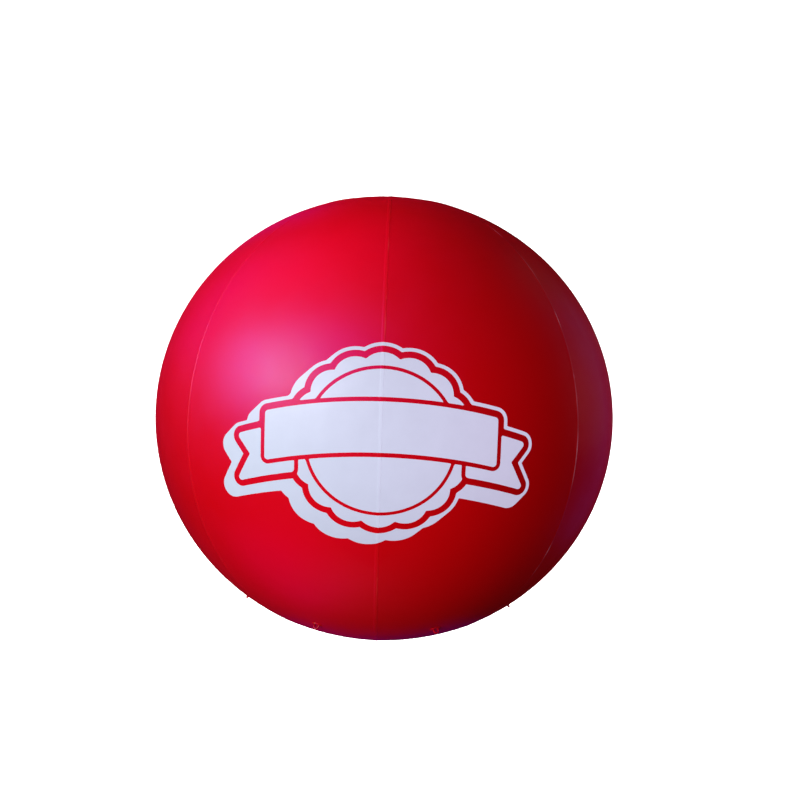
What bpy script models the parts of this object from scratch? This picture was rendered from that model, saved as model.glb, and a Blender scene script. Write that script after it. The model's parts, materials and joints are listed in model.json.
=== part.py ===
"""Advertising balloon: a welded PVC ball of eight gores with a crown cap, a
base cap, a filling valve with a flip lid, and a tether lug with an eye on
every gore. Metres, +Z up, origin at the ball's centre, -Y is the side with
the front weld in its middle."""
import math

import bmesh
import bpy
from mathutils import Matrix, Vector

# ---------------------------------------------------------------- sizes, m
EQUATOR_R = 1.000        # outer radius at the equator
POLE_R = 0.970           # outer half height: the inflated ball is a bit flat
SKIN = 0.010             # wall
GAP = 0.0003             # between pieces that touch
GORES = 8
FACETS = 7               # facets across one gore, odd: a facet in its middle
CAP_R = 0.125            # crown and base caps
CAP_RING_R = 0.045       # inner ring of facets on a cap

LUG_BASE_R = 0.022
LUG_BASE_T = 0.002
LUG_CHAMFER = 0.0006
EYE_TUBE_R = 0.0025      # the eye's own thickness, half
EYE_HALF_W = 0.0095      # middle of the eye's tube from the lug's middle
EYE_TOP = 0.0165         # middle of the eye's top bar above the base

VALVE_HOLE_R = 0.0213
VALVE_NECK_R = 0.0210
VALVE_BORE_R = 0.0150
VALVE_FLANGE_R = 0.0340
VALVE_RIM_R = 0.0200
LID_R = 0.0200
LID_SPIGOT_R = 0.0120
HINGE_Y = 0.0245
HINGE_Z = -0.9860
PIN_R = 0.0014
KNUCKLE_R = 0.0030
KNUCKLE_BORE_R = 0.0018

# Latitudes of the gore's rows of facets, degrees. The lugs stand in the
# middle of the narrow row that starts at LUG_ROW, close to the true ball.
ROW_LATITUDES = (-75, -67, -60, -55, -50, -43, -33, -22, -11, 0,
                 11, 22, 33, 43, 52, 60, 67, 75)
LUG_ROW = -55

# name: base colour (linear), roughness, metallic
FINISHES = {
    "skin": ((0.52, 0.004, 0.018), 0.42, 0.0),
    "lug": ((0.50, 0.004, 0.018), 0.45, 0.0),
    "valve": ((0.62, 0.62, 0.60), 0.45, 0.0),
}

# ---------------------------------------------------------------- helpers
for old in list(bpy.data.objects):
    bpy.data.objects.remove(old, do_unlink=True)


def material(name, finish):
    colour, rough, metal = FINISHES[finish]
    mat = bpy.data.materials.new(name)
    mat.use_nodes = True
    shader = mat.node_tree.nodes["Principled BSDF"]
    shader.inputs["Base Color"].default_value = (*colour, 1.0)
    shader.inputs["Roughness"].default_value = rough
    shader.inputs["Metallic"].default_value = metal
    return mat


def add_object(name, mesh, finish=None, matrix=None):
    obj = bpy.data.objects.new(name, mesh)
    bpy.context.scene.collection.objects.link(obj)
    if matrix is not None:
        obj.matrix_world = matrix
    if finish:
        if not mesh.materials:
            mesh.materials.append(None)
        obj.material_slots[0].link = "OBJECT"
        obj.material_slots[0].material = material(name, finish)
    return obj


def mesh_from(bm, name, smooth_angle=None):
    bmesh.ops.recalc_face_normals(bm, faces=bm.faces[:])
    mesh = bpy.data.meshes.new(name)
    bm.to_mesh(mesh)
    bm.free()
    if smooth_angle:
        mesh.shade_smooth()
        mesh.set_sharp_from_angle(angle=math.radians(smooth_angle))
    return mesh


def skin_point(lon, lat, depth=0.0):
    """Point at parametric longitude and latitude in radians, longitude 0 at
    -Y and growing towards +X, depth below the outer surface."""
    out = Vector((math.cos(lat) * math.sin(lon), -math.cos(lat) * math.cos(lon),
                  math.sin(lat)))
    point = Vector((EQUATOR_R * out.x, EQUATOR_R * out.y, POLE_R * out.z))
    normal = Vector((out.x / EQUATOR_R, out.y / EQUATOR_R, out.z / POLE_R))
    return point - normal.normalized() * depth


def lat_of_radius(radius, sign=1):
    return sign * math.acos(radius / EQUATOR_R)


def spun(profile, steps, name, smooth_angle=30):
    """Closed body turned about Z from a closed profile of (radius, z)."""
    bm = bmesh.new()
    verts = [bm.verts.new((r, 0.0, z)) for r, z in profile]
    edges = [bm.edges.new((verts[i], verts[i - 1])) for i in range(len(verts))]
    bmesh.ops.spin(bm, geom=verts + edges, cent=(0, 0, 0), axis=(0, 0, 1),
                   angle=2 * math.pi, steps=steps, use_merge=True)
    bmesh.ops.remove_doubles(bm, verts=bm.verts[:], dist=1e-6)
    loose = [f for f in bm.faces if f.calc_area() < 1e-12]
    bmesh.ops.delete(bm, geom=loose, context="FACES")
    return mesh_from(bm, name, smooth_angle)


def block(low, high, name):
    bm = bmesh.new()
    bmesh.ops.create_cube(bm, size=1.0)
    size = Vector(high) - Vector(low)
    mid = (Vector(high) + Vector(low)) / 2
    bmesh.ops.transform(bm, verts=bm.verts[:],
                        matrix=Matrix.Translation(mid) @ Matrix.Diagonal((*size, 1)))
    return mesh_from(bm, name)


def rod_x(radius, half, y, z, sides, name):
    bm = bmesh.new()
    bmesh.ops.create_cone(bm, cap_ends=True, segments=sides, radius1=radius,
                          radius2=radius, depth=2 * half)
    bmesh.ops.transform(bm, verts=bm.verts[:],
                        matrix=Matrix.Translation((0, y, z))
                        @ Matrix.Rotation(math.radians(90), 4, "Y"))
    return mesh_from(bm, name)


def combine(obj, mesh, operation):
    """Boolean with a guide body that stays hidden beside the piece."""
    tool = add_object(mesh.name, mesh)
    tool.hide_render = True
    tool.display_type = "WIRE"
    step = obj.modifiers.new(operation.lower(), "BOOLEAN")
    step.operation = operation
    step.solver = "EXACT"
    step.object = tool


def baked(obj, name, smooth_angle=35):
    """The object's mesh with its modifiers worked out, for copies to share."""
    graph = bpy.context.evaluated_depsgraph_get()
    graph.update()
    mesh = bpy.data.meshes.new_from_object(obj.evaluated_get(graph))
    mesh.name = name
    mesh.materials.clear()
    mesh.shade_smooth()
    mesh.set_sharp_from_angle(angle=math.radians(smooth_angle))
    return mesh


# ---------------------------------------------------------------- gores
def gore_mesh(index):
    """One welded panel: a shell between two meridians and the two caps."""
    middle = (index + 0.5) * 2 * math.pi / GORES
    half = math.pi / GORES
    ends = lat_of_radius(CAP_R)
    lats = [-ends] + [math.radians(v) for v in ROW_LATITUDES] + [ends]
    bm = bmesh.new()
    layers = []
    for depth in (0.0, SKIN):
        rows = []
        for lat in lats:
            inset = GAP / 2 / (EQUATOR_R * math.cos(lat))
            row = []
            for i in range(FACETS + 1):
                lon = -half + 2 * half * i / FACETS
                if i == 0:
                    lon += inset
                if i == FACETS:
                    lon -= inset
                row.append(bm.verts.new(skin_point(middle + lon, lat, depth)))
            rows.append(row)
        layers.append(rows)
    outer, inner = layers
    last = len(lats) - 1
    for j in range(last):
        for i in range(FACETS):
            for rows in layers:
                bm.faces.new((rows[j][i], rows[j][i + 1],
                              rows[j + 1][i + 1], rows[j + 1][i]))
        for i in (0, FACETS):
            bm.faces.new((outer[j][i], inner[j][i], inner[j + 1][i], outer[j + 1][i]))
    for i in range(FACETS):
        for j in (0, last):
            bm.faces.new((outer[j][i], outer[j][i + 1], inner[j][i + 1], inner[j][i]))
    return mesh_from(bm, "gore_%d" % (index + 1), 25)


for k in range(GORES):
    add_object("gore_%d" % (k + 1), gore_mesh(k), "skin")


# ---------------------------------------------------------------- caps
def cap_mesh(name, sign, hole_r):
    """Domed disc at a pole, with a hole where hole_r isn't zero."""
    columns = GORES * FACETS
    radii = [CAP_R - GAP, CAP_RING_R] + ([hole_r] if hole_r else [])
    bm = bmesh.new()
    layers = []
    for depth in (0.0, SKIN):
        rings = [[bm.verts.new(skin_point(2 * math.pi * i / columns,
                                          lat_of_radius(r, sign), depth))
                  for i in range(columns)] for r in radii]
        layers.append(rings)
    outer, inner = layers
    for rings in layers:
        for a, b in zip(rings, rings[1:]):
            for i in range(columns):
                bm.faces.new((a[i - 1], a[i], b[i], b[i - 1]))
        if not hole_r:
            bm.faces.new(rings[-1])
    borders = [0] + ([len(radii) - 1] if hole_r else [])
    for ring in borders:
        for i in range(columns):
            bm.faces.new((outer[ring][i - 1], outer[ring][i],
                          inner[ring][i], inner[ring][i - 1]))
    return mesh_from(bm, name, 25)


add_object("crown_cap", cap_mesh("crown_cap", 1, 0.0), "skin")
add_object("base_cap", cap_mesh("base_cap", -1, VALVE_HOLE_R), "skin")

# ---------------------------------------------------------------- valve
# radius, z: neck inside the ball, flange against the base cap, rim outside
VALVE_PROFILE = (
    (VALVE_BORE_R, -0.9350),
    (VALVE_NECK_R, -0.9350),
    (VALVE_NECK_R, -0.9702),
    (VALVE_FLANGE_R, -0.9702),
    (VALVE_FLANGE_R, -0.9735),
    (VALVE_RIM_R, -0.9735),
    (VALVE_RIM_R, -0.9840),
    (VALVE_BORE_R, -0.9840),
)
valve = add_object("valve_body", spun(VALVE_PROFILE, 28, "valve_body"), "valve")
for side in (-1, 1):
    x0, x1 = sorted((side * 0.0065, side * 0.0105))
    combine(valve, block((x0, 0.0212, -0.9890), (x1, 0.0278, -0.9720),
                         "guide_ear_%s" % ("left" if side < 0 else "right")), "UNION")
combine(valve, rod_x(PIN_R, 0.0085, HINGE_Y, HINGE_Z, 12, "guide_pin"), "UNION")

# radius, z from the lid's underside up to the top of its spigot
LID_PROFILE = (
    (0.0, -0.9883),
    (LID_R - 0.0008, -0.9883),
    (LID_R, -0.9875),
    (LID_R, -0.9843),
    (LID_SPIGOT_R, -0.9843),
    (LID_SPIGOT_R, -0.9805),
    (0.0, -0.9805),
)
HINGE = Vector((0.0, HINGE_Y, HINGE_Z))


def lid_mesh():
    bm = bmesh.new()
    verts = [bm.verts.new((r, 0.0, z)) for r, z in LID_PROFILE]
    edges = [bm.edges.new((verts[i], verts[i + 1])) for i in range(len(verts) - 1)]
    bmesh.ops.spin(bm, geom=verts + edges, cent=(0, 0, 0), axis=(0, 0, 1),
                   angle=2 * math.pi, steps=28, use_merge=True)
    bmesh.ops.remove_doubles(bm, verts=bm.verts[:], dist=1e-6)
    bmesh.ops.translate(bm, verts=bm.verts[:], vec=-HINGE)
    return mesh_from(bm, "valve_lid", 30)


def about_hinge(mesh):
    mesh.transform(Matrix.Translation(-HINGE))
    return mesh


lid = add_object("valve_lid", lid_mesh(), "valve", Matrix.Translation(HINGE))
LID_GUIDES = (
    # mesh, operation
    (block((-0.0060, 0.0170, -0.9883), (0.0060, 0.0245, -0.9850), "guide_tab"), "UNION"),
    (block((-0.0050, -0.0250, -0.9883), (0.0050, -0.0180, -0.9862), "guide_tongue"), "UNION"),
    (rod_x(KNUCKLE_R, 0.0060, HINGE_Y, HINGE_Z, 16, "guide_knuckle"), "UNION"),
    (rod_x(KNUCKLE_BORE_R, 0.0080, HINGE_Y, HINGE_Z, 12, "guide_knuckle_bore"), "DIFFERENCE"),
)
for guide, operation in LID_GUIDES:
    combine(lid, guide, operation)


# ---------------------------------------------------------------- lugs
def eye_mesh(name):
    """The eye: an arch of round section, both feet inside the base."""
    half_turn = 8
    top = EYE_TOP - EYE_HALF_W
    path = [Vector((-EYE_HALF_W, 0, 0.0010))]
    for i in range(half_turn + 1):
        a = math.pi - math.pi * i / half_turn
        path.append(Vector((EYE_HALF_W * math.cos(a), 0, top + EYE_HALF_W * math.sin(a))))
    path.append(Vector((EYE_HALF_W, 0, 0.0010)))
    bm = bmesh.new()
    sides = 8
    rings = []
    for i, point in enumerate(path):
        before = path[max(i - 1, 0)]
        after = path[min(i + 1, len(path) - 1)]
        along = (after - before).normalized()
        out = along.cross(Vector((0, 1, 0))).normalized()
        rings.append([bm.verts.new(point + EYE_TUBE_R * (
            math.cos(2 * math.pi * s / sides) * out
            + math.sin(2 * math.pi * s / sides) * Vector((0, 1, 0))))
            for s in range(sides)])
    for a, b in zip(rings, rings[1:]):
        for s in range(sides):
            bm.faces.new((a[s - 1], a[s], b[s], b[s - 1]))
    bm.faces.new(rings[0])
    bm.faces.new(rings[-1])
    return mesh_from(bm, name)


LUG_PROFILE = (
    # radius, height above the skin
    (0.0, 0.0),
    (LUG_BASE_R, 0.0),
    (LUG_BASE_R, LUG_BASE_T - LUG_CHAMFER),
    (LUG_BASE_R - LUG_CHAMFER, LUG_BASE_T),
    (0.0, LUG_BASE_T),
)


def lug_mesh():
    bm = bmesh.new()
    verts = [bm.verts.new((r, 0.0, z)) for r, z in LUG_PROFILE]
    edges = [bm.edges.new((verts[i], verts[i + 1])) for i in range(len(verts) - 1)]
    bmesh.ops.spin(bm, geom=verts + edges, cent=(0, 0, 0), axis=(0, 0, 1),
                   angle=2 * math.pi, steps=20, use_merge=True)
    bmesh.ops.remove_doubles(bm, verts=bm.verts[:], dist=1e-6)
    pattern = add_object("guide_lug", mesh_from(bm, "guide_lug"))
    combine(pattern, eye_mesh("guide_eye"), "UNION")
    mesh = baked(pattern, "tether_lug")
    pattern.hide_render = True
    pattern.display_type = "WIRE"
    return mesh


def lug_frame(lon):
    """Middle of the lug's facet and its frame: along the equator, up the
    meridian, and out of the skin."""
    row = ROW_LATITUDES.index(LUG_ROW)
    low, high = (math.radians(v) for v in ROW_LATITUDES[row:row + 2])
    half = math.pi / GORES / FACETS
    corners = [skin_point(lon + s * half, lat) for lat in (low, high) for s in (-1, 1)]
    middle = (corners[0] + corners[1] + corners[2] + corners[3]) / 4
    along = Vector((math.cos(lon), math.sin(lon), 0.0))
    up = ((corners[2] + corners[3]) - (corners[0] + corners[1])).normalized()
    out = along.cross(up).normalized()
    frame = Matrix((along, up, out)).transposed().to_4x4()
    return middle, frame, out


shared_lug = lug_mesh()
for k in range(GORES):
    lon = (k + 0.5) * 2 * math.pi / GORES
    middle, frame, out = lug_frame(lon)
    foot = middle + out * GAP
    add_object("tether_lug_%d" % (k + 1), shared_lug, "lug",
               Matrix.Translation(foot) @ frame)
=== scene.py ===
import json
import math

import bmesh
import bpy
import numpy as np
from mathutils import Matrix, Vector


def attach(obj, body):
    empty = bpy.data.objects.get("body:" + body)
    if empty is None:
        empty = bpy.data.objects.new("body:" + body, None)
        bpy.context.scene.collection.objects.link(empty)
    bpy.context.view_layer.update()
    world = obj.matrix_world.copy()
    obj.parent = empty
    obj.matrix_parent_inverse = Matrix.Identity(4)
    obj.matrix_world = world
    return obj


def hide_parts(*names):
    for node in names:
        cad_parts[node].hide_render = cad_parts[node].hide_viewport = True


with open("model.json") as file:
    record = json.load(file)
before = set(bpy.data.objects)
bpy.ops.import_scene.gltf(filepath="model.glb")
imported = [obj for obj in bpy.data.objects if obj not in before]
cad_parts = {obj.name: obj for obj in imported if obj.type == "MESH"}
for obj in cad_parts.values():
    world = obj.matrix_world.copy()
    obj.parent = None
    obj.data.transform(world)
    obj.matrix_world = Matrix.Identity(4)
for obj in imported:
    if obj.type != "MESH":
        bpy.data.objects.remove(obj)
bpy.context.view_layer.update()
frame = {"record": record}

# ------------------------------------------------------------------ sizes, m
R_EQ = 1.000             # equator, outer
R_POLE = 0.970           # half height, outer
GORES = 8
PITCH = 2 * math.pi / GORES
FILM = 0.00045           # drawn thickness of the film
LAP = 0.010              # width of the welded overlap
LAP_RISE = 0.0005        # how far the upper film stands over the lower one
LAP_RAMP = 0.0045        # length of the rise before the overlap
RIDGE = 0.0012           # a weld stands a little proud of the panels
RIDGE_LENGTH = 0.042
GORE_END_R = 0.118       # gore tips, under the caps
CAP_R = 0.135            # crown and base discs, lapped over the gore tips

# ------------------------------------------------------------------ surface
def smooth(a, b, x):
    t = np.clip((x - a) / (b - a), 0.0, 1.0)
    return t * t * (3 - 2 * t)


def unit(v):
    return v / np.linalg.norm(v, axis=-1, keepdims=True)


def ball(lon, lat):
    """Points and normals of the smooth ball. Longitude 0 is at -Y and grows
    towards +X; latitude is the ellipse's parameter."""
    lon, lat = np.broadcast_arrays(np.asarray(lon, float), np.asarray(lat, float))
    c = np.cos(lat)
    out = np.stack([c * np.sin(lon), -c * np.cos(lon), np.sin(lat)], -1)
    scale = np.array([R_EQ, R_EQ, R_POLE])
    return out * scale, unit(out / scale)


# Each weld's own puckers: phase, waves along the whole weld, height in mm
WELD_PUCKERS = (
    (0.3, 43, 0.10), (1.9, 51, 0.16), (4.1, 47, 0.13), (2.7, 39, 0.15),
    (5.2, 53, 0.12), (0.9, 45, 0.17), (3.5, 49, 0.14), (1.2, 41, 0.13),
)


# Spots where a glint is painted on a weld's outer side, whose film is also a little
# smoother there: latitude and reach in degrees, strength. Every weld also has a little of it in short
# dashes.
WELD_GLINT_SPOTS = (
    ((44.5, 1.8, 0.40), (23.8, 2.2, 0.45), (59.0, 1.5, 0.20), (-33.0, 3.0, 0.20)),
    ((54.0, 1.6, 1.00), (41.0, 3.2, 0.36), (27.0, 1.4, 0.66), (9.0, 4.0, 0.34),
     (-1.5, 3.6, 0.95), (-7.0, 2.5, 0.50), (-26.0, 1.7, 1.00), (-31.5, 1.6, 0.40)),
    ((30.0, 5.0, 0.40), (-8.0, 7.0, 0.40)),
    ((2.0, 8.0, 0.40), (41.0, 4.0, 0.35)),
    ((18.0, 6.0, 0.45), (-27.0, 5.0, 0.35)),
    ((35.0, 5.0, 0.40), (5.0, 6.0, 0.35)),
    ((-3.0, 8.0, 0.45), (28.0, 4.0, 0.30)),
    ((10.5, 5.0, 0.42), (19.5, 6.0, 0.36), (1.0, 4.0, 0.16), (33.0, 7.0, 0.16)),
)


def weld_polish_and_painted_glint(lon, lat, x):
    """Painted glint, and smoother film, on the weld's outer side, 0 to 1, by distance past its middle."""
    weld = np.round(lon / PITCH).astype(int) % GORES
    degrees = np.degrees(lat)
    value = 0.04 + 0.20 * smooth(0.86, 0.97, np.sin(degrees * 1.31 + 2.1 * weld)
                                 * np.sin(degrees * 0.47 + weld))
    for k, spots in enumerate(WELD_GLINT_SPOTS):
        for at, reach, strength in spots:
            value = value + (weld == k) * strength * np.exp(-((degrees - at) / reach) ** 2)
    # on the front right weld the painted glint and the smoother film reach further into the overlap
    first = np.where(weld == 1, -0.0028, 0.0002)
    return np.clip(value, 0.0, 1.0) * smooth(first, first + 0.0028, x) * (x < LAP / 2 + 0.0005)


def tension(lon, lat):
    """Height of the skin's own relief over the smooth ball, without laps."""
    lon, lat = np.broadcast_arrays(np.asarray(lon, float), np.asarray(lat, float))
    weld = np.round(lon / PITCH)
    x = (lon - weld * PITCH) * np.cos(lat) * R_EQ
    near = np.sqrt(x * x + 0.006 ** 2)
    room = np.cos(lat) * R_EQ * PITCH / 2
    length = np.minimum(RIDGE_LENGTH, room * 0.35)
    h = RIDGE * (length / RIDGE_LENGTH) * np.exp(-near / length)
    table = np.array(WELD_PUCKERS)[weld.astype(int) % GORES]
    side = np.where(x > 0, 0.6, 0.0)
    wave = (np.sin(lat * table[..., 1] + table[..., 0] + side)
            + 0.6 * np.sin(lat * table[..., 1] * 1.73 + table[..., 0] * 2.1 - side))
    h = h + table[..., 2] * 0.001 * wave * np.exp(-near / 0.030)
    # gathers that run out from the caps
    steep = smooth(math.radians(58), math.radians(82), np.abs(lat))
    sign = np.where(lat > 0, 0.0, 1.3)
    gather = (np.sin(24 * lon + sign) + 0.7 * np.sin(40 * lon + 1.1 + 2 * sign)
              + 0.5 * np.sin(57 * lon + 2.3 - sign))
    h = h + 0.00030 * steep * gather
    # slow unevenness of a big inflated skin
    h = h + 0.0004 * np.sin(3 * lon + 0.7) * np.cos(2.0 * lat + 0.4)
    return h


def lap(x):
    """Height of the upper film by distance past the weld's middle."""
    up = smooth(-LAP / 2 - LAP_RAMP, -LAP / 2 + 0.0003, x)
    down = 1.0 - smooth(LAP / 2 - 0.0005, LAP / 2 + 0.0001, x)
    return LAP_RISE * up * down


def top_of_skin(lon, lat):
    """Height of what shows, laps included."""
    weld = np.round(np.asarray(lon) / PITCH)
    x = (lon - weld * PITCH) * np.cos(lat) * R_EQ
    return tension(lon, lat) + lap(x)


# ------------------------------------------------------------------ meshes
def make_object(name, verts, faces, smooth_angle=None, attributes=None):
    mesh = bpy.data.meshes.new(name)
    mesh.from_pydata([tuple(v) for v in verts], [], faces)
    mesh.validate()
    mesh.update()
    if attributes:
        for key, values in attributes.items():
            layer = mesh.attributes.new(key, "FLOAT", "POINT")
            layer.data.foreach_set("value", np.asarray(values, np.float32))
    mesh.shade_smooth()
    if smooth_angle:
        mesh.set_sharp_from_angle(angle=math.radians(smooth_angle))
    obj = bpy.data.objects.new(name, mesh)
    bpy.context.scene.collection.objects.link(obj)
    return obj


def shell(name, outer, inner, closed_columns=False, smooth_angle=35, attributes=None):
    """Closed body between two grids of points, rows by columns. Outer faces
    point out when rows grow with latitude and columns with longitude."""
    rows, columns = outer.shape[:2]
    count = rows * columns
    verts = np.concatenate([outer.reshape(-1, 3), inner.reshape(-1, 3)])
    j, i = np.meshgrid(np.arange(rows - 1),
                       np.arange(columns if closed_columns else columns - 1), indexing="ij")
    n = (i + 1) % columns
    a, b, c, d = j * columns + i, j * columns + n, (j + 1) * columns + n, (j + 1) * columns + i
    quads = np.stack([a, b, c, d], -1).reshape(-1, 4)
    faces = [quads, quads[:, ::-1] + count]
    ends = np.arange(columns if closed_columns else columns - 1)
    nxt = (ends + 1) % columns
    low, high = ends, (rows - 1) * columns + ends
    low_n, high_n = nxt, (rows - 1) * columns + nxt
    faces.append(np.stack([low_n, low, low + count, low_n + count], -1))
    faces.append(np.stack([high, high_n, high_n + count, high + count], -1))
    if not closed_columns:
        side = np.arange(rows - 1) * columns
        faces.append(np.stack([side, side + columns, side + columns + count, side + count], -1))
        side = side + columns - 1
        faces.append(np.stack([side + columns, side, side + count, side + columns + count], -1))
    faces = np.concatenate(faces).tolist()
    if attributes:
        attributes = {k: np.concatenate([v.ravel(), v.ravel()]) for k, v in attributes.items()}
    return make_object(name, verts, faces, smooth_angle, attributes)


def turned(name, profile, steps, smooth_angle=30):
    """Closed body turned about Z from (radius, z) points, listed so that the
    outside is on the left hand when the list runs from top to bottom."""
    bm = bmesh.new()
    rings = []
    for r, z in profile:
        if r < 1e-7:
            rings.append([bm.verts.new((0, 0, z))])
        else:
            rings.append([bm.verts.new((r * math.cos(2 * math.pi * s / steps),
                                        r * math.sin(2 * math.pi * s / steps), z))
                          for s in range(steps)])
    pairs = list(zip(rings, rings[1:]))
    if len(rings[0]) > 1:
        pairs.append((rings[-1], rings[0]))
    for a, b in pairs:
        for s in range(steps):
            t = (s + 1) % steps
            if len(a) == 1 and len(b) == 1:
                break
            if len(a) == 1:
                bm.faces.new((a[0], b[s], b[t]))
            elif len(b) == 1:
                bm.faces.new((a[s], b[0], a[t]))
            else:
                bm.faces.new((a[s], b[s], b[t], a[t]))
    bmesh.ops.recalc_face_normals(bm, faces=bm.faces[:])
    mesh = bpy.data.meshes.new(name)
    bm.to_mesh(mesh)
    bm.free()
    mesh.shade_smooth()
    mesh.set_sharp_from_angle(angle=math.radians(smooth_angle))
    obj = bpy.data.objects.new(name, mesh)
    bpy.context.scene.collection.objects.link(obj)
    return obj


def fillet(points, radii, steps=5):
    """Rounds the corners of an open or closed profile of 2-D points."""
    out = []
    n = len(points)
    for i, p in enumerate(points):
        r = radii[i]
        if r <= 0:
            out.append(p)
            continue
        a = Vector(points[i - 1]) - Vector(p)
        b = Vector(points[(i + 1) % n]) - Vector(p)
        r = min(r, a.length * 0.49, b.length * 0.49)
        start, end = Vector(p) + a.normalized() * r, Vector(p) + b.normalized() * r
        for s in range(steps + 1):
            t = s / steps
            q = start * (1 - t) ** 2 + Vector(p) * 2 * t * (1 - t) + end * t * t
            out.append((q.x, q.y))
    return out


def block(name, low, high, bevel=0.0, segments=2):
    bm = bmesh.new()
    bmesh.ops.create_cube(bm, size=1.0)
    size = Vector(high) - Vector(low)
    middle = (Vector(high) + Vector(low)) / 2
    bmesh.ops.transform(bm, verts=bm.verts[:],
                        matrix=Matrix.Translation(middle) @ Matrix.Diagonal((*size, 1)))
    if bevel:
        bmesh.ops.bevel(bm, geom=bm.edges[:], offset=bevel, segments=segments,
                        profile=0.5, affect="EDGES")
    mesh = bpy.data.meshes.new(name)
    bm.to_mesh(mesh)
    bm.free()
    obj = bpy.data.objects.new(name, mesh)
    bpy.context.scene.collection.objects.link(obj)
    return obj


def rod_x(name, radius, half, y, z, sides=48, bevel=0.0):
    bm = bmesh.new()
    bmesh.ops.create_cone(bm, cap_ends=True, segments=sides, radius1=radius,
                          radius2=radius, depth=2 * half)
    if bevel:
        rim = [e for e in bm.edges if len(e.link_faces) == 2
               and any(len(f.verts) > 4 for f in e.link_faces)]
        bmesh.ops.bevel(bm, geom=rim, offset=bevel, segments=2, profile=0.5, affect="EDGES")
    bmesh.ops.transform(bm, verts=bm.verts[:],
                        matrix=Matrix.Translation((0, y, z))
                        @ Matrix.Rotation(math.radians(90), 4, "Y"))
    mesh = bpy.data.meshes.new(name)
    bm.to_mesh(mesh)
    bm.free()
    obj = bpy.data.objects.new(name, mesh)
    bpy.context.scene.collection.objects.link(obj)
    return obj


def boolean(obj, tools, smooth_angle=30):
    """Unites and cuts obj with (tool, operation) pairs and removes the tools."""
    for tool, operation in tools:
        step = obj.modifiers.new("step", "BOOLEAN")
        step.operation, step.solver, step.object = operation, "EXACT", tool
    graph = bpy.context.evaluated_depsgraph_get()
    graph.update()
    mesh = bpy.data.meshes.new_from_object(obj.evaluated_get(graph))
    obj.modifiers.clear()
    obj.data = mesh
    mesh.shade_smooth()
    mesh.set_sharp_from_angle(angle=math.radians(smooth_angle))
    for tool, _ in tools:
        bpy.data.objects.remove(tool, do_unlink=True)
    return obj


def copy_of(obj, name, matrix):
    new = bpy.data.objects.new(name, obj.data.copy())
    new.data.name = name
    new.data.transform(matrix)
    bpy.context.scene.collection.objects.link(new)
    return new


# ------------------------------------------------------------------ materials
class Nodes:
    def __init__(self, name):
        self.mat = bpy.data.materials.new(name)
        self.mat.use_nodes = True
        self.tree = self.mat.node_tree
        self.shader = self.tree.nodes["Principled BSDF"]

    def new(self, kind, inputs=None, **settings):
        node = self.tree.nodes.new(kind)
        for key, value in settings.items():
            setattr(node, key, value)
        for key, value in (inputs or {}).items():
            if isinstance(value, bpy.types.NodeSocket):
                self.tree.links.new(value, node.inputs[key])
            else:
                node.inputs[key].default_value = value
        return node

    def link(self, out, socket):
        self.tree.links.new(out, self.shader.inputs[socket])

    def coords(self):
        return self.new("ShaderNodeTexCoord").outputs["Object"]

    def noise(self, scale, detail=3.0, rough=0.5, vector=None, distortion=0.0):
        node = self.new("ShaderNodeTexNoise", {
            "Scale": scale, "Detail": detail, "Roughness": rough, "Distortion": distortion,
            "Vector": vector if vector is not None else self.coords()})
        return node.outputs["Fac"]

    def range(self, value, a, b, c, d, clamp=True):
        node = self.new("ShaderNodeMapRange", {
            "Value": value, "From Min": a, "From Max": b, "To Min": c, "To Max": d})
        node.clamp = clamp
        return node.outputs["Result"]

    def math(self, operation, a, b=0.0):
        node = self.new("ShaderNodeMath", operation=operation)
        for i, value in enumerate((a, b)):
            if isinstance(value, bpy.types.NodeSocket):
                self.tree.links.new(value, node.inputs[i])
            else:
                node.inputs[i].default_value = value
        return node.outputs[0]

    def mix(self, factor, a, b):
        node = self.new("ShaderNodeMix", data_type="RGBA")
        for key, value in ((0, factor), (6, a), (7, b)):
            if isinstance(value, bpy.types.NodeSocket):
                self.tree.links.new(value, node.inputs[key])
            else:
                node.inputs[key].default_value = value
        return node.outputs[2]

    def attribute(self, name):
        return self.new("ShaderNodeAttribute", attribute_name=name).outputs["Fac"]

    def bump(self, height, distance, strength=1.0, normal=None):
        inputs = {"Height": height, "Distance": distance, "Strength": strength}
        if normal is not None:
            inputs["Normal"] = normal
        return self.new("ShaderNodeBump", inputs).outputs["Normal"]


RED = (0.61, 0.0006, 0.0018, 1.0)
RED_DEEP = (0.575, 0.0005, 0.0016, 1.0)
WHITE = (0.82, 0.82, 0.82, 1.0)


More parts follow.
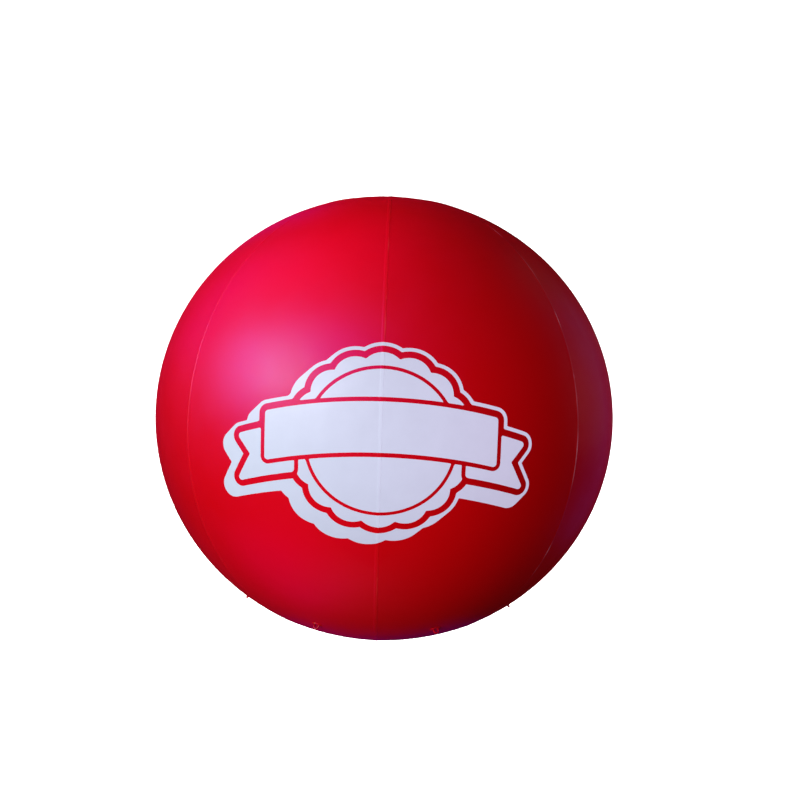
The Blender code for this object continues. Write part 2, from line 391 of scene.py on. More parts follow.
def film_material(name, tone=1.0, rough=0.42, glint_colour=(0.80, 0.095, 0.110, 1.0)):
    """Satin PVC film. tone and rough differ a little from panel to panel, and
    glint_colour is the colour of the highlight painted on the weld's outer side."""
    m = Nodes(name)
    broad = m.noise(1.6, 3.0, 0.5)
    cloud = m.noise(9.0, 4.0, 0.55)
    fine = m.noise(420.0, 2.0, 0.5)
    light = tuple(c * tone for c in RED[:3]) + (1.0,)
    deep = tuple(c * tone for c in RED_DEEP[:3]) + (1.0,)
    colour = m.mix(m.range(broad, 0.35, 0.65, 0.0, 0.55), light, deep)
    # dust and handling marks, sparse and faint
    specks = m.range(m.noise(230.0, 2.0, 0.6), 0.735, 0.76, 0.0, 0.35)
    patchy = m.range(m.noise(3.2, 3.0, 0.6), 0.52, 0.72, 0.0, 1.0)
    colour = m.mix(m.math("MULTIPLY", specks, patchy), colour, (0.22, 0.012, 0.016, 1.0))
    weld = m.attribute("weld")
    colour = m.mix(m.math("MULTIPLY", weld, 0.14), colour,
                   (0.74 * tone, 0.012 * tone, 0.026 * tone, 1.0))
    # painted highlight: along the weld's outer side the base colour turns to the paler glint colour
    shine = m.attribute("shine")
    colour = m.mix(shine, colour, glint_colour)
    m.link(colour, "Base Color")
    r = m.math("ADD", m.range(cloud, 0.3, 0.7, rough - 0.025, rough + 0.03),
               m.range(fine, 0.3, 0.7, -0.012, 0.012))
    r = m.math("SUBTRACT", r, m.math("MULTIPLY", weld, 0.02))
    # the same spots of the weld are also a little smoother
    r = m.math("SUBTRACT", r, m.math("MULTIPLY", shine, 0.10))
    # rubbed streaks catch the light in a slightly different way
    streak_space = m.new("ShaderNodeMapping", {
        "Vector": m.coords(), "Scale": (1.0, 1.0, 7.0), "Rotation": (0.4, 0.2, 0.9)}).outputs[0]
    streaks = m.noise(26.0, 4.0, 0.65, streak_space, 0.4)
    r = m.math("ADD", r, m.range(streaks, 0.60, 0.78, 0.0, 0.05))
    m.link(r, "Roughness")
    peel = m.noise(150.0, 2.0, 0.5)
    grain = m.noise(1400.0, 1.0, 0.5)
    normal = m.bump(peel, 0.00003)
    normal = m.bump(grain, 0.000002, normal=normal)
    m.link(normal, "Normal")
    m.shader.inputs["IOR"].default_value = 1.52
    m.shader.inputs["Specular IOR Level"].default_value = 0.5
    m.shader.inputs["Specular Tint"].default_value = (0.60, 0.40, 1.0, 1.0)
    return m.mat


def ink_material():
    """White screen ink: a little flatter than the film, with the film's own
    unevenness and faint pinholes where the red shows through."""
    m = Nodes("white_ink")
    cloud = m.noise(14.0, 4.0, 0.55)
    fine = m.noise(520.0, 2.0, 0.6)
    colour = m.mix(m.range(cloud, 0.3, 0.7, 0.0, 1.0), WHITE, (0.79, 0.79, 0.79, 1.0))
    thin = m.range(fine, 0.70, 0.78, 0.0, 0.30)
    colour = m.mix(thin, colour, (0.70, 0.45, 0.50, 1.0))
    weld = m.attribute("weld")
    colour = m.mix(m.math("MULTIPLY", weld, 0.4), colour, (0.88, 0.88, 0.88, 1.0))
    m.link(colour, "Base Color")
    m.link(m.range(cloud, 0.3, 0.7, 0.44, 0.50), "Roughness")
    m.link(m.bump(m.noise(700.0, 2.0, 0.5), 0.00002), "Normal")
    m.shader.inputs["IOR"].default_value = 1.50
    return m.mat


def moulded_material(name, light, deep, rough):
    m = Nodes(name)
    cloud = m.noise(60.0, 3.0, 0.5)
    fine = m.noise(900.0, 2.0, 0.5)
    m.link(m.mix(m.range(cloud, 0.35, 0.65, 0.0, 1.0), light, deep), "Base Color")
    m.link(m.range(fine, 0.3, 0.7, rough - 0.04, rough + 0.05), "Roughness")
    m.link(m.bump(fine, 0.00002), "Normal")
    m.shader.inputs["IOR"].default_value = 1.50
    return m.mat


def finish(obj, material, body, slot, *nodes):
    obj.data.materials.clear()
    obj.data.materials.append(material)
    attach(obj, body)
    if nodes:
        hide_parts(*nodes)
    return obj


# ------------------------------------------------------------------ gores
# how each panel's film differs: tone, roughness
PANELS = (
    (0.975, 0.425), (1.00, 0.415), (0.985, 0.43), (1.0, 0.42),
    (1.015, 0.425), (0.985, 0.415), (1.0, 0.425), (1.015, 0.415),
)
# colours of the highlights painted on the welds' outer side; the pale pink one is painted on the front
# right weld
WELD_GLINT_PAINT = (0.80, 0.095, 0.110, 1.0)
WELD_GLINT_PAINT_PALE = (1.0, 0.44, 0.70, 1.0)
END_LAT = math.acos(GORE_END_R / R_EQ)
# distances into the panel from a weld's middle, mm
LEFT_MM = (-5.0, -4.4, -2.5, 0.0, 2.5, 4.4, 5.0, 6.5, 9.5, 14.0, 20.0)
RIGHT_MM = (-20.0, -14.0, -10.6, -9.5, -8.4, -7.3, -6.2, -5.2, -4.4, -2.5, 0.0, 2.5,
            4.4, 4.75, 5.0)
MIDDLE_COLUMNS = 30
ROWS = 200


def gore(index):
    left, right = index * PITCH, (index + 1) * PITCH
    lat = np.linspace(-END_LAT, END_LAT, ROWS + 1)[:, None]
    wide = np.cos(lat) * R_EQ
    lon_left = left + np.array(LEFT_MM)[None] * 0.001 / wide
    lon_right = right + np.array(RIGHT_MM)[None] * 0.001 / wide
    t = np.linspace(0, 1, MIDDLE_COLUMNS + 2)[None, 1:-1]
    lon_middle = lon_left[:, -1:] * (1 - t) + lon_right[:, :1] * t
    lon = np.concatenate([lon_left, lon_middle, lon_right], 1)
    lat = np.broadcast_to(lat, lon.shape)
    x_right = (lon - right) * np.cos(lat) * R_EQ
    x_left = (lon - left) * np.cos(lat) * R_EQ
    height = tension(lon, lat) + lap(x_right)
    points, normals = ball(lon, lat)
    outer = points + normals * height[..., None]
    inner_height = height - FILM
    inner = points + normals * inner_height[..., None]
    weld = np.maximum(smooth(-LAP / 2 - 0.001, -LAP / 2, x_right),
                      1.0 - smooth(LAP / 2, LAP / 2 + 0.001, x_left))
    name = "film_gore_%d" % (index + 1)
    # where a glint is painted on the right-hand weld, whose film is also smoother there
    shine = weld_polish_and_painted_glint(np.full(lon.shape, right), lat, x_right)
    obj = shell(name, outer, inner, attributes={"weld": weld, "shine": shine})
    tone, rough = PANELS[index]
    # the front right weld gets the pale painted glint
    glint_colour = WELD_GLINT_PAINT_PALE if index == 0 else WELD_GLINT_PAINT
    return finish(obj, film_material("film_%d" % (index + 1), tone, rough, glint_colour),
                  "envelope", "skin", "gore_%d" % (index + 1))


for k in range(GORES):
    gore(k)


# ------------------------------------------------------------------ caps
# radii of the disc's rings, mm, from the rim inwards
CAP_RINGS = (135.0, 134.7, 134.2, 133.0, 131.0, 128.5, 126.0, 123.5, 121.5, 119.5,
             118.3, 117.2, 116.0, 113.0, 108.0, 102.0, 95.0, 87.0, 78.0, 68.0, 57.0,
             46.0, 36.0, 28.0)
CAP_COLUMNS = 192


def cap(name, node, sign, hole):
    rings = list(CAP_RINGS) + ([21.5] if hole else [20.0, 12.0, 5.0, 1.0])
    r = np.array(rings)[:, None] * 0.001
    lat = sign * np.arccos(np.clip(r / R_EQ, 0, 1))
    lon = np.arange(CAP_COLUMNS)[None] * 2 * math.pi / CAP_COLUMNS
    lon, lat = np.broadcast_arrays(lon, lat)
    r = np.broadcast_to(r, lon.shape)
    over = smooth(0.1155, 0.1195, r)              # what lies on the gore tips
    beyond = np.abs(np.remainder(lon / PITCH + 0.5, 1.0) - 0.5) * PITCH * r
    weld_under = np.exp(-(beyond / 0.0075) ** 2) * over
    round_off = 1.0 - smooth(0.1340, 0.1351, r)
    height = (tension(lon, lat) * smooth(0.02, 0.11, r)
              + 0.00055 * over + LAP_RISE * 0.85 * weld_under
              - 0.00020 * (1 - round_off) + 0.0001)
    height = height + 0.00008 * (1 + np.sin(lon * 17 + 0.4)) * smooth(0.118, 0.135, r)
    points, normals = ball(lon, lat)
    outer = points + normals * height[..., None]
    inner = points + normals * (height - FILM)[..., None]
    if sign > 0:
        grids = outer, inner
    else:
        grids = outer[::-1], inner[::-1]
        r = r[::-1]
    weld = smooth(0.1180, 0.1190, r) * 0.8
    obj = shell(name, *grids, closed_columns=True, attributes={"weld": weld})
    if not hole:                                   # close the pole
        bm = bmesh.new()
        bm.from_mesh(obj.data)
        bm.verts.ensure_lookup_table()
        rows = len(rings)
        count = rows * CAP_COLUMNS
        last = (rows - 1) * CAP_COLUMNS
        bridge = [f for f in bm.faces if len({v.index // CAP_COLUMNS for v in f.verts}
                                             & {rows - 1, 2 * rows - 1}) == 2]
        bmesh.ops.delete(bm, geom=bridge, context="FACES_ONLY")
        bm.verts.ensure_lookup_table()
        bm.faces.new([bm.verts[last + i] for i in range(CAP_COLUMNS)])
        bm.faces.new([bm.verts[count + last + i] for i in reversed(range(CAP_COLUMNS))])
        bmesh.ops.recalc_face_normals(bm, faces=bm.faces[:])
        bm.to_mesh(obj.data)
        bm.free()
    return finish(obj, film_material("film_" + name, 1.0, 0.42), "envelope", "skin", node)


cap("crown_disc", "crown_cap", 1, False)
cap("base_disc", "base_cap", -1, True)


# ------------------------------------------------------------------ print
# A blank badge in white ink on the front: a ribbon with forked tails across a
# scalloped rosette, a red gap round them, and outside that a line that widens
# into a shadow at the lower left. Drawn on the flat with signed distances in
# metres, negative inside: X along the equator from the front weld, Y up the
# meridian.
BADGE_Y = 0.012
ROSETTE_R = 0.304
SCALLOPS = 16
SCALLOP_R = 0.075
ROSETTE_LINE_R = 0.252       # a thin red circle inside the scallops
RIBBON_HALF_W = 0.400
RIBBON_HALF_H = 0.086
RIBBON_RISE = 0.050          # the ribbon arches up in its middle
TAIL_FROM, TAIL_TO = 0.300, 0.506
TAIL_DROP = 0.056
TAIL_NOTCH = 0.050
CORNER = 0.012
GAP = 0.023                  # red between the badge and its outline
OUTLINE = 0.0125
BEHIND_GAP = 0.015           # red between a piece and what it lies on
SHADOW = (-0.037, -0.034)


def arch(x):
    return RIBBON_RISE * (1.0 - (x / RIBBON_HALF_W) ** 2)


def polygon_distance(x, y, points):
    """Signed distance to a closed polygon, negative inside."""
    nearest = np.full(x.shape, 1e9)
    inside = np.zeros(x.shape, bool)
    for (ax, ay), (bx, by) in zip(points, points[1:] + points[:1]):
        ex, ey = bx - ax, by - ay
        t = np.clip(((x - ax) * ex + (y - ay) * ey) / (ex * ex + ey * ey), 0.0, 1.0)
        nearest = np.minimum(nearest, (x - ax - t * ex) ** 2 + (y - ay - t * ey) ** 2)
        if ay != by:
            crosses = (ay > y) != (by > y)
            inside ^= crosses & (x < ex * (y - ay) / ey + ax)
    nearest = np.sqrt(nearest)
    return np.where(inside, -nearest, nearest)


def rosette(x, y):
    r = np.hypot(x, y)
    a = np.arctan2(y, x)
    a = np.abs(np.remainder(a + math.pi / SCALLOPS, 2 * math.pi / SCALLOPS) - math.pi / SCALLOPS)
    centre = ROSETTE_R - SCALLOP_R
    petal = np.hypot(r * np.cos(a) - centre, r * np.sin(a)) - SCALLOP_R
    return np.minimum(petal, r - centre)


def ribbon(x, y):
    w, h = RIBBON_HALF_W - CORNER, RIBBON_HALF_H - CORNER
    line = np.linspace(-w, w, 29).tolist()
    outline = [(u, arch(u) - h) for u in line] + [(u, arch(u) + h) for u in reversed(line)]
    return polygon_distance(x, y, outline) - CORNER


def tails(x, y):
    """Ends folded behind the ribbon, with a notch cut in each."""
    h = RIBBON_HALF_H - CORNER
    end = TAIL_TO - CORNER
    line = np.linspace(TAIL_FROM, end, 9).tolist()
    outline = [(u, arch(u) - TAIL_DROP - h) for u in line]
    outline.append((end - TAIL_NOTCH, arch(end - TAIL_NOTCH) - TAIL_DROP))
    outline += [(u, arch(u) - TAIL_DROP + h) for u in reversed(line)]
    return polygon_distance(np.abs(x), y, outline) - CORNER


def artwork(x, y):
    y = y - BADGE_Y
    rose, band, ends = rosette(x, y), ribbon(x, y), tails(x, y)
    whole = np.minimum(np.minimum(rose, band), ends)
    ends_field = np.maximum(ends, BEHIND_GAP - band)
    rose_field = np.maximum(rose, BEHIND_GAP - np.minimum(band, ends))
    rose_field = np.maximum(rose_field, 0.0060 - np.abs(np.hypot(x, y) - ROSETTE_LINE_R))
    thrown = whole
    for i in range(1, 9):
        sx, sy = x - SHADOW[0] * i / 8, y - SHADOW[1] * i / 8
        thrown = np.minimum(thrown, rosette(sx, sy))
        thrown = np.minimum(thrown, np.minimum(ribbon(sx, sy), tails(sx, sy)))
    outline = np.maximum(thrown - GAP - OUTLINE, GAP - whole)
    fields = np.minimum(np.minimum(band, ends_field), rose_field)
    return np.minimum(fields, outline)


def print_piece():
    reach_x, reach_y = 0.62, 0.42
    step = 0.0042
    near = np.array([-20.0, -14.0, -10.6, -9.5, -8.4, -7.3, -6.2, -5.2, -4.4, -2.5, 0.0,
                     2.5, 4.4, 4.75, 5.1, 6.5, 9.5, 14.0, 20.0]) * 0.001
    far = np.arange(0.020, reach_x, step)[1:]
    xs = np.concatenate([-far[::-1], near, far])
    ys = np.arange(-reach_y, reach_y + step, step)
    gx, gy = np.meshgrid(xs, ys, indexing="ij")
    value = artwork(gx, gy)
    value = np.where(np.abs(value) < 1e-6, 1e-6, value)
    nx, ny = gx.shape
    flat_v = value.ravel()
    index = np.arange(nx * ny).reshape(nx, ny)
    points = {}
    verts = []

    def corner(i):
        if i not in points:
            points[i] = len(verts)
            verts.append((gx.flat[i], gy.flat[i]))
        return points[i]

    def crossing(i, k):
        key = (i, k) if i < k else (k, i)
        if key not in points:
            t = flat_v[key[0]] / (flat_v[key[0]] - flat_v[key[1]])
            t = min(max(t, 0.03), 0.97)
            points[key] = len(verts)
            verts.append((gx.flat[key[0]] * (1 - t) + gx.flat[key[1]] * t,
                          gy.flat[key[0]] * (1 - t) + gy.flat[key[1]] * t))
        return points[key]

    faces = []
    inside = value < 0
    touched = (inside[:-1, :-1] | inside[1:, :-1] | inside[1:, 1:] | inside[:-1, 1:])
    for i, j in zip(*np.nonzero(touched)):
        ring = (index[i, j], index[i + 1, j], index[i + 1, j + 1], index[i, j + 1])
        signs = [flat_v[q] < 0 for q in ring]
        if all(signs):
            faces.append([corner(q) for q in ring])
            continue
        if signs in ([True, False, True, False], [False, True, False, True]):
            for q in range(4):
                if signs[q]:
                    faces.append([corner(ring[q]), crossing(ring[q], ring[(q + 1) % 4]),
                                  crossing(ring[q - 1], ring[q])])
            continue
        loop = []
        for q in range(4):
            if signs[q]:
                loop.append(corner(ring[q]))
            if signs[q] != signs[(q + 1) % 4]:
                loop.append(crossing(ring[q], ring[(q + 1) % 4]))
        faces.append(loop)
    flat = np.array(verts)
    lat = flat[:, 1] / R_EQ
    lon = flat[:, 0] / (R_EQ * np.cos(lat))
    place, normals = ball(lon, lat)
    height = top_of_skin(lon, lat) + 0.00030
    outer = place + normals * height[:, None]
    inner = place + normals * (height - 0.00045)[:, None]
    count = len(flat)
    # walls along the open edges
    edge_use = {}
    for f in faces:
        for a, b in zip(f, f[1:] + f[:1]):
            edge_use[(a, b)] = True
    walls = [[b, a, a + count, b + count] for a, b in edge_use if (b, a) not in edge_use]
    bottom = [[v + count for v in reversed(f)] for f in faces]
    weld = 1.0 - smooth(LAP / 2, LAP / 2 + 0.0015, np.abs(flat[:, 0]))
    obj = make_object("front_print", np.concatenate([outer, inner]), faces + bottom + walls,
                      40, {"weld": np.concatenate([weld, weld])})
    return finish(obj, ink_material(), "envelope", "print")


print_piece()

# ------------------------------------------------------------------ valve
WHITE_PVC = moulded_material("valve_pvc", (0.74, 0.74, 0.72, 1.0), (0.68, 0.68, 0.66, 1.0), 0.42)
RED_PVC = moulded_material("lug_pvc", (0.58, 0.0020, 0.0080, 1.0), (0.50, 0.0016, 0.0060, 1.0), 0.40)

VALVE = [
    # radius, z, corner radius
    (0.0150, -0.9350, 0.0006),
    (0.0210, -0.9350, 0.0006),
    (0.0210, -0.9698, 0.0),
    (0.0332, -0.9698, 0.0004),
    (0.0340, -0.9712, 0.0006),
    (0.0332, -0.9728, 0.0006),
    (0.0290, -0.9731, 0.0003),
    (0.0282, -0.9736, 0.0003),
    (0.0272, -0.9731, 0.0003),
    (0.0222, -0.9734, 0.0010),
    (0.0200, -0.9745, 0.0010),
    (0.0197, -0.9800, 0.0003),
    (0.0200, -0.9806, 0.0003),
    (0.0200, -0.9826, 0.0003),
    (0.0196, -0.9840, 0.0005),
    (0.0156, -0.9840, 0.0006),
    (0.0150, -0.9828, 0.0004),
]
valve = turned("filling_valve", fillet([(r, z) for r, z, _ in VALVE], [c for *_, c in VALVE], 4), 96)
ears = []
for side in (-1, 1):
    x0, x1 = sorted((side * 0.0065, side * 0.0105))
    ears.append((block("ear", (x0, 0.0212, -0.9890), (x1, 0.0278, -0.9720), 0.0008, 3), "UNION"))
ears.append((rod_x("pin", 0.0014, 0.0085, 0.0245, -0.9860, 32), "UNION"))
boolean(valve, ears)
finish(valve, WHITE_PVC, "envelope", "valve", "valve_body")

LID = [
    (0.0, -0.9879, 0.0),
    (0.0120, -0.9881, 0.0),
    (0.0150, -0.9883, 0.0),
    (0.0178, -0.9888, 0.0004),
    (0.0196, -0.9884, 0.0005),
    (0.0201, -0.9870, 0.0004),
    (0.0200, -0.9843, 0.0003),
    (0.0122, -0.9843, 0.0003),
    (0.0120, -0.9812, 0.0006),
    (0.0112, -0.9805, 0.0004),
    (0.0, -0.9805, 0.0),
]
lid = turned("flip_lid", list(reversed(fillet([(r, z) for r, z, _ in LID], [c for *_, c in LID], 4))), 96)
tools = [
    (block("tab", (-0.0060, 0.0170, -0.9883), (0.0060, 0.0245, -0.9850), 0.0006, 2), "UNION"),
    (block("tongue", (-0.0050, -0.0250, -0.9883), (0.0050, -0.0180, -0.9862), 0.0009, 3), "UNION"),
    (rod_x("knuckle", 0.0030, 0.0060, 0.0245, -0.9860, 48, 0.0004), "UNION"),
]
for n in range(3):
    y = -0.0244 + 0.0013 * n
    tools.append((block("rib", (-0.0040, y, -0.9887), (0.0040, y + 0.0006, -0.9880), 0.0002, 1), "UNION"))
tools.append((rod_x("bore", 0.0017, 0.0080, 0.0245, -0.9860, 32), "DIFFERENCE"))
boolean(lid, tools)
finish(lid, WHITE_PVC, "valve_lid", "valve", "valve_lid")


# ------------------------------------------------------------------ lugs
def eye(steps=30, sides=20):
    """The lug's eye: an arch of oval section that flares into the base."""
    half_w, top = 0.0095, 0.0165
    knee = top - half_w
    path = [Vector((-half_w, 0, z)) for z in (0.0009, 0.0022, 0.0030, 0.0042, 0.0056)]
    for i in range(steps + 1):
        a = math.pi - math.pi * i / steps
        path.append(Vector((half_w * math.cos(a), 0, knee + half_w * math.sin(a))))
    path += [Vector((half_w, 0, z)) for z in (0.0056, 0.0042, 0.0030, 0.0022, 0.0009)]
    bm = bmesh.new()
    rings = []
    for i, p in enumerate(path):
        along = (path[min(i + 1, len(path) - 1)] - path[max(i - 1, 0)]).normalized()
        out = along.cross(Vector((0, 1, 0))).normalized()
        flare = 0.0016 * max(0.0, 1 - (p.z - 0.0020) / 0.0026) ** 2 if p.z > 0.0020 else 0.0016
        rx, ry = 0.00245 + flare, 0.00245 + 0.0007 + flare
        ring = []
        for s in range(sides):
            a = 2 * math.pi * s / sides
            ring.append(bm.verts.new(p + out * rx * math.cos(a) + Vector((0, 1, 0)) * ry * math.sin(a)))
        rings.append(ring)
    for a, b in zip(rings, rings[1:]):
        for s in range(sides):
            bm.faces.new((a[s - 1], a[s], b[s], b[s - 1]))
    bm.faces.new(rings[0])
    bm.faces.new(rings[-1])
    bmesh.ops.recalc_face_normals(bm, faces=bm.faces[:])
    mesh = bpy.data.meshes.new("eye")
    bm.to_mesh(mesh)
    bm.free()
    obj = bpy.data.objects.new("eye", mesh)
    bpy.context.scene.collection.objects.link(obj)
    return obj


LUG = [
    # radius, height over the skin, corner radius
    (0.0, 0.0021, 0.0),
    (0.0150, 0.0021, 0.0),
    (0.0158, 0.0025, 0.0003),
    (0.0168, 0.0025, 0.0003),
    (0.0176, 0.0018, 0.0003),
    (0.0208, 0.0015, 0.0004),
    (0.0220, 0.0008, 0.0004),
    (0.0222, -0.0008, 0.0),
    (0.0, -0.0008, 0.0),
]
pattern = turned("lug_pattern", fillet([(r, z) for r, z, _ in LUG], [c for *_, c in LUG], 3), 72)
boolean(pattern, [(eye(), "UNION")], 35)


mounts = {m["name"]: m for m in frame["record"]["mounts"]}
for k in range(GORES):
    lon = (k + 0.5) * PITCH
    mount = mounts["tether_%d" % (k + 1)]
    out = Vector(mount["axis"]).normalized()
    along = Vector((math.cos(lon), math.sin(lon), 0.0))
    up = out.cross(along).normalized()
    turn = Matrix((along, up, out)).transposed().to_4x4()
    foot = Vector(mount["pos_m"]) - out * 0.002 - up * 0.014
    # up from the CAD's flat facet to the round film
    lat = math.asin(foot.z / R_POLE)
    skin, normal = ball(lon, lat)
    skin = skin + normal * top_of_skin(lon, lat)
    foot += out * float(np.dot(skin - np.array(foot), normal))
    lug = copy_of(pattern, "welded_lug_%d" % (k + 1), Matrix.Translation(foot) @ turn)
    finish(lug, RED_PVC, "envelope", "lug", "tether_lug_%d" % (k + 1))
bpy.data.objects.remove(pattern, do_unlink=True)


# ------------------------------------------------------------------ studio
FLOOR_Z = -2.600             # the ball floats over the floor


def sweep():
    """Round floor of pale paper that curves up into a wall all round, and a
    ceiling: the same paper behind the ball from every side."""
    radius, bend, top, columns = 10.0, 3.5, 11.0, 96
    line = [(2.0, FLOOR_Z), (radius - bend, FLOOR_Z)]
    for i in range(1, 17):
        a = math.pi / 2 * i / 16
        line.append((radius - bend + bend * math.sin(a), FLOOR_Z + bend - bend * math.cos(a)))
    line += [(radius, top - bend)]
    for i in range(1, 17):
        a = math.pi / 2 * i / 16
        line.append((radius - bend + bend * math.cos(a), top - bend + bend * math.sin(a)))
    line.append((2.0, top))
    verts = [(0.0, 0.0, FLOOR_Z)]
    for r, z in line:
        verts += [(r * math.cos(2 * math.pi * k / columns), r * math.sin(2 * math.pi * k / columns), z)
                  for k in range(columns)]
    verts.append((0.0, 0.0, top))
    last = len(verts) - 1
    faces = []
    for k in range(columns):
        n = (k + 1) % columns
        faces.append((0, 1 + k, 1 + n))
        for i in range(len(line) - 1):
            a = 1 + i * columns
            faces.append((a + k, a + columns + k, a + columns + n, a + n))
        a = 1 + (len(line) - 1) * columns
        faces.append((a + k, last, a + n))
    obj = make_object("studio_sweep", verts, faces)
    m = Nodes("studio_paper")
    tone = m.noise(0.8, 3.0, 0.5)
    m.link(m.mix(m.range(tone, 0.3, 0.7, 0.0, 1.0), (0.90, 0.90, 0.90, 1.0),
                 (0.885, 0.885, 0.885, 1.0)), "Base Color")
    m.link(m.range(m.noise(6.0), 0.3, 0.7, 0.75, 0.85), "Roughness")
    m.link(m.bump(m.noise(260.0, 2.0), 0.0001), "Normal")
    m.shader.inputs["Specular IOR Level"].default_value = 0.1
    obj.data.materials.append(m.mat)
    # the paper throws no light back on the ball
    obj.visible_diffuse = False
    obj.visible_glossy = False
    obj.visible_shadow = False
    return obj


paper = sweep()

# What each lamp lights: the red film and lugs, the white print and valve, or
# the paper.
pieces = [o for o in bpy.context.scene.objects if o.type == "MESH" and not o.hide_render]
WHITE_PIECES = ("front_print", "filling_valve", "flip_lid")
GROUPS = {
    "film": [o for o in pieces if o != paper and o.name not in WHITE_PIECES],
    "print": [o for o in pieces if o.name in WHITE_PIECES],
    "paper": [paper],
}
LIT = {}
for group, members in GROUPS.items():
    LIT[group] = bpy.data.collections.new("lit_" + group)
    for member in members:
        LIT[group].objects.link(member)


def lamp(name, lights, shows, azimuth, elevation, distance, width, height, power, colour):
    """Area light. Azimuth 0 is the front, and grows to the right. A soft
    lamp shows in no reflection, and a glint shows in nothing else."""
    a, e = math.radians(azimuth), math.radians(elevation)
    place = Vector((math.sin(a) * math.cos(e), -math.cos(a) * math.cos(e), math.sin(e))) * distance
    data = bpy.data.lights.new(name, "AREA")
    data.shape = "RECTANGLE"
    data.size, data.size_y = width, height
    data.energy = power
    data.color = colour
    obj = bpy.data.objects.new(name, data)
    obj.location = place
    obj.rotation_mode = "QUATERNION"
    obj.rotation_quaternion = (-place).to_track_quat("-Z", "Y")
    bpy.context.scene.collection.objects.link(obj)
    obj.visible_camera = False
    obj.visible_glossy = shows != "soft"
    obj.visible_diffuse = shows != "glint"
    obj.light_linking.receiver_collection = LIT[lights]
    return obj


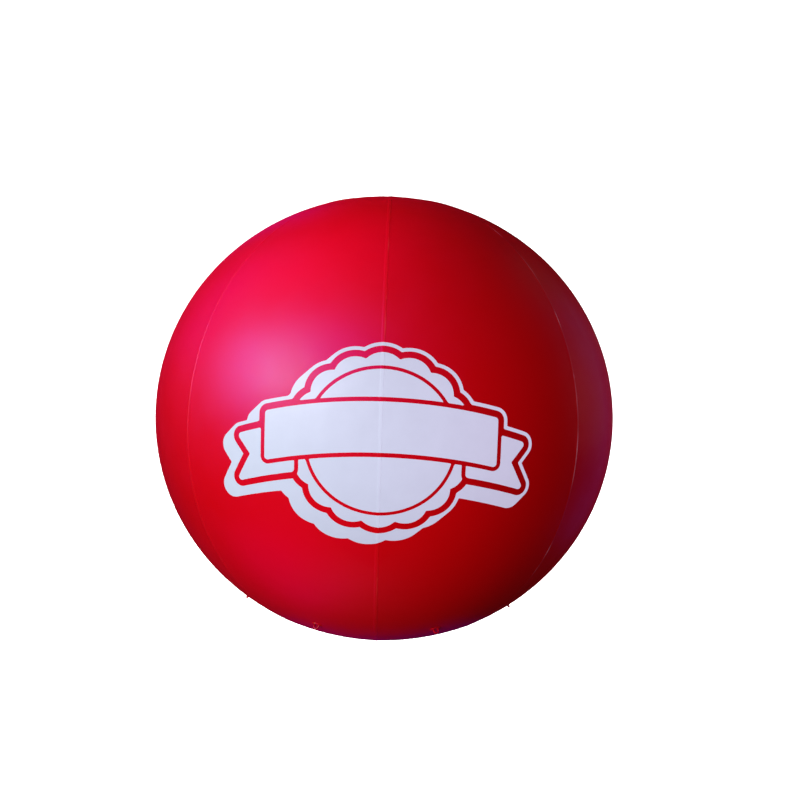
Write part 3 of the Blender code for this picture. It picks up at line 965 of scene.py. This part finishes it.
LAMPS = (
    # name, what it lights, kind, azimuth, elevation, distance, width, height, watts, colour
    ("soft_left_low", "film", "soft", -25.0, -70.0, 5.0, 2.2, 2.2, 17.4, (1.000, 0.500, 0.400)),
    ("soft_left_mid", "film", "soft", -25.0, 5.0, 5.0, 2.2, 2.2, 206.3, (1.000, 0.500, 0.400)),
    ("soft_left_high", "film", "soft", -25.0, 50.0, 5.0, 2.2, 2.2, 20.5, (1.000, 0.500, 0.400)),
    ("soft_left_high_2", "film", "soft", -98.0, 50.0, 5.0, 2.2, 2.2, 113.9, (1.000, 0.080, 0.400)),
    ("soft_right_mid", "film", "soft", 109.0, 5.0, 5.0, 2.2, 2.2, 116.4, (1.000, 0.500, 0.400)),
    ("behind", "film", "soft", 179.0, 15.0, 5.0, 2.2, 2.2, 60.0, (1.00, 0.50, 0.40)),
    ("window_left_mid", "film", "glint", -30.0, 28.0, 5.0, 3.4, 2.4, 127.1, (0.000, 0.120, 1.000)),
    ("window_left_mid_2", "film", "glint", -45.0, 20.0, 5.0, 1.6, 1.2, 107.3, (0.176, 1.000, 0.164)),
    ("haze_left_high", "film", "glint", -70.0, 40.0, 5.0, 6.5, 5.0, 133.7, (1.000, 0.000, 0.313)),
    ("window_left_low", "film", "glint", -65.0, -58.0, 5.0, 3.5, 3.5, 62.3, (1.000, 0.005, 0.254)),
    ("window_left_high", "film", "glint", -60.0, 72.0, 5.0, 3.5, 3.5, 77.0, (1.000, 0.000, 0.095)),
    ("rim_right_mid", "film", "glint", 115.0, 5.0, 5.0, 2.4, 3.2, 1.0, (0.000, 0.000, 1.000)),
    ("rim_right_high", "film", "glint", 115.0, 32.0, 5.0, 2.4, 3.2, 2.2, (0.680, 0.800, 0.750)),
    ("rim_left_mid", "film", "glint", -105.0, 30.0, 5.0, 2.0, 3.0, 14.7, (0.607, 0.000, 1.000)),
    ("rim_middle_low", "film", "glint", 180.0, -40.0, 5.0, 3.0, 3.0, 6.8, (0.000, 0.000, 1.000)),
    ("rim_right_mid_2", "film", "glint", 120.0, 0.0, 5.0, 1.2, 6.0, 7.6, (0.000, 0.118, 1.000)),
    ("rim_left_mid_2", "film", "glint", -155.0, 20.0, 5.0, 1.0, 5.0, 8.5, (0.000, 0.009, 1.000)),
    ("window_left_mid_3", "film", "glint", -60.0, 22.0, 5.0, 2.8, 2.0, 156.0, (0.026, 0.390, 1.000)),
    ("window_left_mid_4", "film", "glint", -50.0, 14.0, 5.0, 2.8, 2.0, 117.2, (0.000, 0.039, 1.000)),
    ("print_left", "print", "soft", -45.0, 0.0, 5.0, 2.5, 2.5, 208.0, (0.72, 0.81, 1.00)),
    ("print_right", "print", "soft", 44.0, 4.0, 5.0, 2.5, 2.5, 160.0, (0.78, 0.72, 1.00)),
    ("print_window", "print", "glint", -48.5, 21.8, 5.0, 4.34, 2.15, 330.0, (0.90, 0.85, 1.00)),
    ("paper_1", "paper", "soft", 45.0, 20.0, 9.0, 8.0, 7.0, 1700.0, (1.00, 1.00, 1.00)),
    ("paper_2", "paper", "soft", 135.0, 20.0, 9.0, 8.0, 7.0, 1700.0, (1.00, 1.00, 1.00)),
    ("paper_3", "paper", "soft", -135.0, 20.0, 9.0, 8.0, 7.0, 1700.0, (1.00, 1.00, 1.00)),
    ("paper_4", "paper", "soft", -45.0, 20.0, 9.0, 8.0, 7.0, 1700.0, (1.00, 1.00, 1.00)),
    ("paper_top", "paper", "soft", 180.0, 85.0, 9.0, 12.0, 12.0, 2200.0, (1.00, 1.00, 1.00)),
)
for row in LAMPS:
    lamp(*row)

world = bpy.data.worlds.new("studio")
bpy.context.scene.world = world
world.use_nodes = True
sky = world.node_tree.nodes["Background"]
sky.inputs["Color"].default_value = (0.80, 0.40, 0.45, 1.0)
sky.inputs["Strength"].default_value = 0.012

# ------------------------------------------------------------------ camera
CAM_AZIMUTH, CAM_ELEVATION, CAM_DISTANCE, CAM_ROLL = 0.57, 5.16, 3.43, 1.84
a, e = math.radians(CAM_AZIMUTH), math.radians(CAM_ELEVATION)
back = Vector((math.sin(a) * math.cos(e), -math.cos(a) * math.cos(e), math.sin(e)))
camera_data = bpy.data.cameras.new("camera")
camera = bpy.data.objects.new("camera", camera_data)
bpy.context.scene.collection.objects.link(camera)
camera.location = back * CAM_DISTANCE
camera.rotation_mode = "QUATERNION"
level = (-back).to_track_quat("-Z", "Y").to_matrix()
camera.rotation_quaternion = (level @ Matrix.Rotation(math.radians(CAM_ROLL), 3, "Z")).to_quaternion()
camera_data.sensor_width = 36.0
camera_data.lens = 36.0 * 751.35 / 800.0
camera_data.shift_x = (400.0 - 384.2) / 800.0
camera_data.shift_y = (418.0 - 400.0) / 800.0
camera_data.clip_start, camera_data.clip_end = 0.05, 100.0
bpy.context.scene.camera = camera

bpy.context.scene.view_settings.view_transform = "Standard"
bpy.context.scene.view_settings.look = "None"

bpy.context.view_layer.update()
